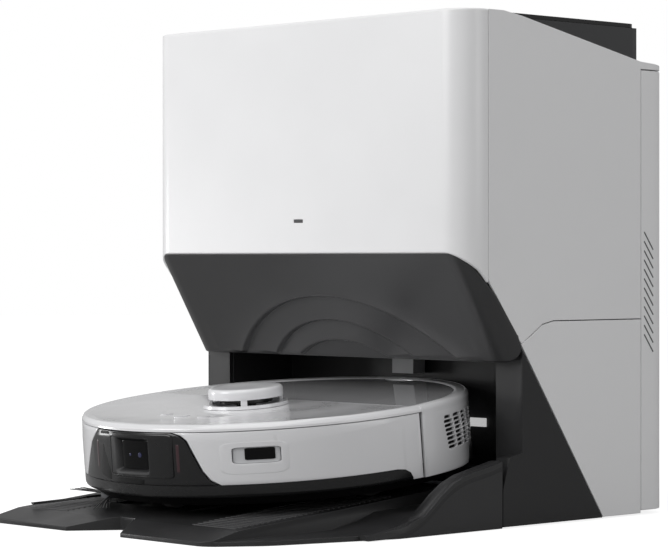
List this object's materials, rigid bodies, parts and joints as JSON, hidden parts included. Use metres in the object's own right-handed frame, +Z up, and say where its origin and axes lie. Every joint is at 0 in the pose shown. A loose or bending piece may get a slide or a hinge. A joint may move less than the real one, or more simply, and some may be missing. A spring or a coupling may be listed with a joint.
{
  "type": "robot vacuum",
  "caption": "Disc-shaped robot vacuum and mop with a raised ranging turret, parked nose down on the ramp of its tall self-emptying, mop-washing dock.",
  "frame": {"origin": "floor level, centre of the dock's plan", "axes": "+Z up, -Y toward someone facing the front, +X to their right; the robot drives out toward -Y down a ramp of 5 degrees"},
  "size_m": [0.422, 0.518, 0.4535],
  "materials": {
    "white_gloss_shell": "satin white",
    "dark_gloss_fascia": "soft sheen charcoal",
    "charcoal_plastic": "fine-grained charcoal",
    "grey_frame": "moulded grey",
    "smoky_tank": "smoky translucent",
    "black_rubber": "matt",
    "pale_lamp": "frosted",
    "contact_metal": "bright",
    "bag_fabric": "non-woven",
    "black_robot": "satin black",
    "robot_white": "gloss light grey white",
    "robot_gloss_lid": "high gloss",
    "dark_glass": "polished"
  },
  "bodies": {
    "dock": {"ramp_base": "charcoal_plastic", "wash_tray": "charcoal_plastic", "chassis_frame": "grey_frame", "rubber_feet": "black_rubber", "garage_shell": "charcoal_plastic", "beacon_strip": "pale_lamp", "refill_nozzle": "charcoal_plastic", "side_skirt_left": "charcoal_plastic", "side_skirt_right": "charcoal_plastic", "lower_side_left": "white_gloss_shell", "lower_side_right": "white_gloss_shell", "upper_shell": "white_gloss_shell", "fascia": "dark_gloss_fascia", "rear_cover": "white_gloss_shell", "power_inlet": "charcoal_plastic", "dust_duct": "grey_frame", "fan_housing": "grey_frame", "circuit_board": "grey_frame", "dust_bag": "bag_fabric"},
    "front_cover": {"front_panel": "white_gloss_shell", "status_led": "pale_lamp"},
    "clean_tank": {"clean_tank": "smoky_tank", "clean_tank_lid": "white_gloss_shell"},
    "waste_tank": {"waste_tank": "smoky_tank", "waste_tank_lid": "white_gloss_shell"},
    "clean_handle": {"clean_tank_handle": "grey_frame"},
    "waste_handle": {"waste_tank_handle": "grey_frame"},
    "impeller": {"fan_impeller": "black_robot"},
    "scrubber": {"wash_brush": "black_rubber"},
    "contacts": {"charge_contacts": "contact_metal"},
    "robot": {"robot_chassis": "black_robot", "robot_top_shell": "robot_white", "robot_rear_shell": "robot_white", "dustbin": "grey_frame", "battery": "black_robot", "brush_guard": "black_robot", "brush_housing": "grey_frame", "turret_base": "black_robot"},
    "bumper": {"bumper_cover": "robot_white", "bumper_band": "black_robot", "bumper_nose": "black_robot", "sensor_window": "dark_glass", "side_window": "dark_glass"},
    "lid": {"top_lid": "robot_gloss_lid"},
    "turret_cap": {"turret_cap": "robot_white"},
    "lidar": {"lidar_head": "black_robot"},
    "button_home": {"button_home": "robot_white"},
    "button_power": {"button_power": "robot_white"},
    "button_spot": {"button_spot": "robot_white"},
    "arm_left": {"wheel_arm_left": "grey_frame"},
    "arm_right": {"wheel_arm_right": "grey_frame"},
    "wheel_left": {"drive_wheel_left": "black_rubber"},
    "wheel_right": {"drive_wheel_right": "black_rubber"},
    "caster_fork": {"caster_fork": "grey_frame"},
    "caster_wheel": {"caster_wheel": "black_rubber"},
    "side_brush": {"side_brush": "black_robot"},
    "roller_front": {"main_brush_front": "black_rubber"},
    "roller_rear": {"main_brush_rear": "black_rubber"},
    "mop": {"mop_plate": "black_robot", "mop_cloth": "bag_fabric"}
  },
  "joints": [
    {"name": "cover_pull", "type": "slide", "parent": "dock", "child": "front_cover", "axis": [0, -1, 0], "range_m": [0, 0.12]},
    {"name": "clean_tank_lift", "type": "slide", "parent": "dock", "child": "clean_tank", "axis": [0, 0, 1], "range_m": [0, 0.2]},
    {"name": "waste_tank_lift", "type": "slide", "parent": "dock", "child": "waste_tank", "axis": [0, 0, 1], "range_m": [0, 0.2]},
    {"name": "clean_handle_fold", "type": "hinge", "parent": "clean_tank", "child": "clean_handle", "pos_m": [-0.10395, 0.147, 0.4509], "axis": [-1, 0, 0], "range_deg": [0, 90]},
    {"name": "waste_handle_fold", "type": "hinge", "parent": "waste_tank", "child": "waste_handle", "pos_m": [0.10395, 0.147, 0.4509], "axis": [-1, 0, 0], "range_deg": [0, 90]},
    {"name": "impeller_spin", "type": "hinge", "parent": "dock", "child": "impeller", "pos_m": [-0.112, 0.146, 0.24], "axis": [0, 0, 1], "continuous": true},
    {"name": "scrubber_travel", "type": "slide", "parent": "dock", "child": "scrubber", "axis": [1, 0, 0], "range_m": [-0.11, 0.11]},
    {"name": "contact_press", "type": "slide", "parent": "dock", "child": "contacts", "axis": [0, 1, 0], "range_m": [0, 0.0025], "stiffness_N_per_m": 600},
    {"name": "robot_drive", "type": "slide", "parent": "dock", "child": "robot", "axis": [0, -0.9962, -0.0872], "range_m": [0, 0.22]},
    {"name": "bumper_press", "type": "slide", "parent": "robot", "child": "bumper", "axis": [0, 0.9962, 0.0872], "range_m": [0, 0.002], "stiffness_N_per_m": 1200},
    {"name": "lid_hinge", "type": "hinge", "parent": "robot", "child": "lid", "pos_m": [0, -0.03873, 0.10771], "axis": [1, 0, 0], "range_deg": [0, 18]},
    {"name": "turret_press", "type": "slide", "parent": "robot", "child": "turret_cap", "axis": [0, 0.0872, -0.9962], "range_m": [0, 0.0015], "stiffness_N_per_m": 1500},
    {"name": "lidar_spin", "type": "hinge", "parent": "robot", "child": "lidar", "pos_m": [0, -0.08316, 0.11075], "axis": [0, -0.0872, 0.9962], "continuous": true},
    {"name": "home_press", "type": "slide", "parent": "robot", "child": "button_home", "axis": [0, 0.0872, -0.9962], "range_m": [0, 0.0007], "stiffness_N_per_m": 700},
    {"name": "power_press", "type": "slide", "parent": "robot", "child": "button_power", "axis": [0, 0.0872, -0.9962], "range_m": [0, 0.0007], "stiffness_N_per_m": 700},
    {"name": "spot_press", "type": "slide", "parent": "robot", "child": "button_spot", "axis": [0, 0.0872, -0.9962], "range_m": [0, 0.0007], "stiffness_N_per_m": 700},
    {"name": "arm_left_swing", "type": "hinge", "parent": "robot", "child": "arm_left", "pos_m": [-0.113, 0.00583, 0.06533], "axis": [-1, 0, 0], "range_deg": [0, 8]},
    {"name": "arm_right_swing", "type": "hinge", "parent": "robot", "child": "arm_right", "pos_m": [0.113, 0.00583, 0.06533], "axis": [-1, 0, 0], "range_deg": [0, 8]},
    {"name": "wheel_left_spin", "type": "hinge", "parent": "arm_left", "child": "wheel_left", "pos_m": [-0.113, -0.04398, 0.06097], "axis": [1, 0, 0], "continuous": true},
    {"name": "wheel_right_spin", "type": "hinge", "parent": "arm_right", "child": "wheel_right", "pos_m": [0.113, -0.04398, 0.06097], "axis": [1, 0, 0], "continuous": true},
    {"name": "caster_swivel", "type": "hinge", "parent": "robot", "child": "caster_fork", "pos_m": [0, -0.17305, 0.04466], "axis": [0, -0.0872, 0.9962], "continuous": true},
    {"name": "caster_spin", "type": "hinge", "parent": "caster_fork", "child": "caster_wheel", "pos_m": [0, -0.16775, 0.03007], "axis": [1, 0, 0], "continuous": true},
    {"name": "side_brush_spin", "type": "hinge", "parent": "robot", "child": "side_brush", "pos_m": [-0.095, -0.15935, 0.02578], "axis": [0, -0.0872, 0.9962], "continuous": true},
    {"name": "roller_front_spin", "type": "hinge", "parent": "robot", "child": "roller_front", "pos_m": [0, -0.13157, 0.04106], "axis": [1, 0, 0], "continuous": true},
    {"name": "roller_rear_spin", "type": "hinge", "parent": "robot", "child": "roller_rear", "pos_m": [0, -0.09471, 0.04429], "axis": [1, 0, 0], "continuous": true},
    {"name": "mop_lift", "type": "slide", "parent": "robot", "child": "mop", "axis": [0, -0.0872, 0.9962], "range_m": [0, 0.005]}
  ],
  "couplings": [
    {"joint": "roller_rear_spin", "follows": "roller_front_spin", "ratio": -1}
  ]
}
